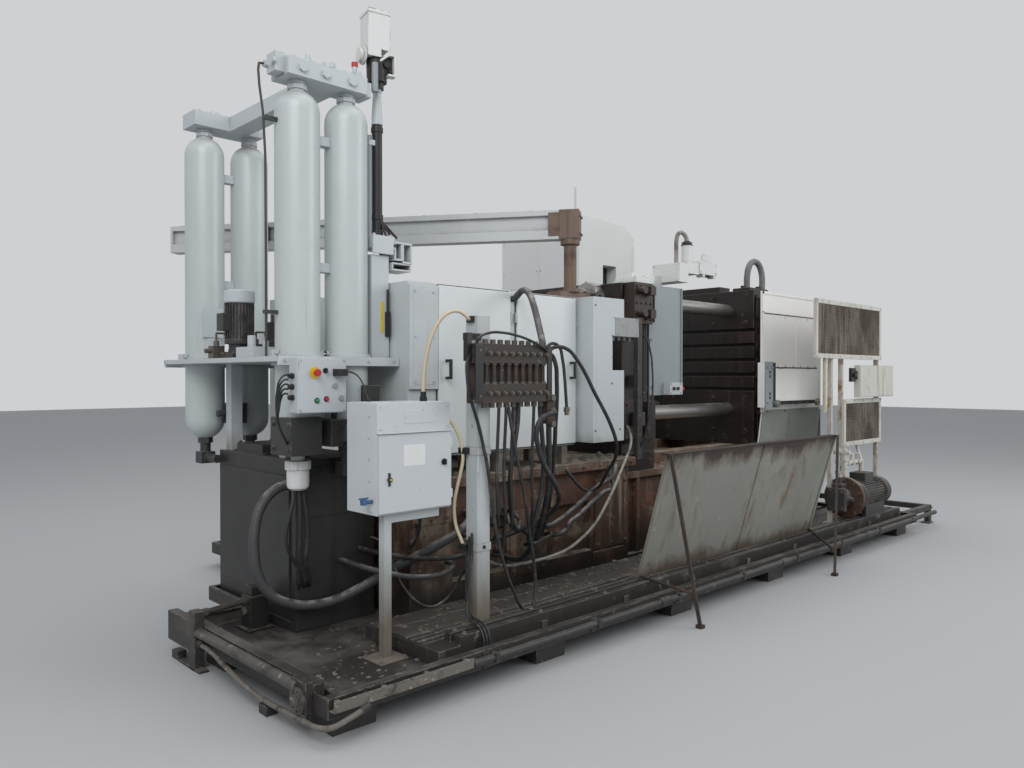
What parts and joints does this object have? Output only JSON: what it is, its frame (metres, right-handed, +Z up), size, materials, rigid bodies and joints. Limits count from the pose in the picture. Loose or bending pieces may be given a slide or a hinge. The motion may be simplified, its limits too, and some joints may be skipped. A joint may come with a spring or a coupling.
{
  "type": "cold chamber die casting machine",
  "caption": "Cold chamber die casting machine on a drip tray: shot unit with gas bottles, platens on tie bars, guards, jib and hose manifold.",
  "frame": {"origin": "on the floor, under the middle of the machine's overall length and width", "axes": "+X along the machine from the injection end to the clamp end, +Y to the far side away from the operator, +Z up"},
  "size_m": [7.92, 3.98, 3.935],
  "materials": {
    "grey_paint": "light cool grey enamel, dusty",
    "white_paint": "white enamel, dusty",
    "door_white": "light grey enamel, scuffed",
    "old_base": "greasy, worn to pale metal at the edges",
    "bed_iron": "rusty, with pale release agent stains",
    "platen_iron": "oily, near black",
    "bar_steel": "ground steel",
    "dark_machine": "dark, oily",
    "guard_grey": "dull grey, scratched and rust stained",
    "screen_white": "white frames with dirty mesh",
    "sheet_blue": "pale blue grey",
    "hose_black": "dull black",
    "hose_grey": "dull grey",
    "hose_cream": "cream, dirty"
  },
  "bodies": {
    "frame": {"base_tray": "old_base", "end_frame": "old_base", "end_rack": "old_base", "deck": "old_base", "machine_bed": "bed_iron", "clamp_bed": "bed_iron", "fixed_platen": "platen_iron", "rear_platen": "platen_iron", "tie_bars": "bar_steel", "closing_cylinder": "dark_machine", "shot_unit": "dark_machine", "shot_sleeve": "dark_machine", "shot_cabinet": "grey_paint", "shot_cover_far": "grey_paint", "end_guard": "grey_paint", "valve_block": "platen_iron", "guard_sheet": "sheet_blue", "push_button_box": "grey_paint", "spray_unit": "white_paint", "side_covers": "white_paint", "door_drive": "white_paint", "screens": "screen_white", "guard_posts": "screen_white", "pump_motor": "dark_machine", "rear_housing": "white_paint", "oil_tank": "dark_machine", "accumulator_stand": "grey_paint", "accumulators": "grey_paint", "manifold": "grey_paint", "mast": "grey_paint", "pilot_motor": "dark_machine", "pilot_valves": "dark_machine", "filter_bowl": "white_paint", "operator_panel": "grey_paint", "control_box": "door_white", "control_box_pole": "grey_paint", "hose_post": "grey_paint", "flow_manifold": "dark_machine", "jib_post": "platen_iron", "splash_guard": "guard_grey", "splash_props": "old_base", "suction_hose": "hose_grey", "feed_hose": "hose_grey", "drop_hose_left": "hose_black", "drop_hose_right": "hose_black", "cream_hose": "hose_cream"},
    "moving_platen": {"moving_platen": "platen_iron", "closing_rod": "bar_steel"},
    "cabinet_door_left": {"cabinet_door_left": "door_white"},
    "cabinet_door_right": {"cabinet_door_right": "door_white"},
    "control_box_door": {"control_box_door": "door_white"},
    "jib": {"jib_beam": "grey_paint"}
  },
  "joints": [
    {"name": "platen_slide", "type": "slide", "parent": "frame", "child": "moving_platen", "axis": [-1, 0, 0], "range_m": [0, 1]},
    {"name": "cabinet_left_hinge", "type": "hinge", "parent": "frame", "child": "cabinet_door_left", "pos_m": [-1.956, -0.9103, 1.7], "axis": [0, 0, 1], "range_deg": [0, 40]},
    {"name": "cabinet_right_hinge", "type": "hinge", "parent": "frame", "child": "cabinet_door_right", "pos_m": [-1.891, -0.9103, 1.7], "axis": [0, 0, -1], "range_deg": [0, 100]},
    {"name": "control_box_hinge", "type": "hinge", "parent": "frame", "child": "control_box_door", "pos_m": [-2.861, -1.3623, 1.1], "axis": [0, 0, 1], "range_deg": [0, 100]},
    {"name": "jib_swing", "type": "hinge", "parent": "frame", "child": "jib", "pos_m": [-1.279, -0.85, 2.3], "axis": [0, 0, 1], "range_deg": [-60, 8]}
  ]
}
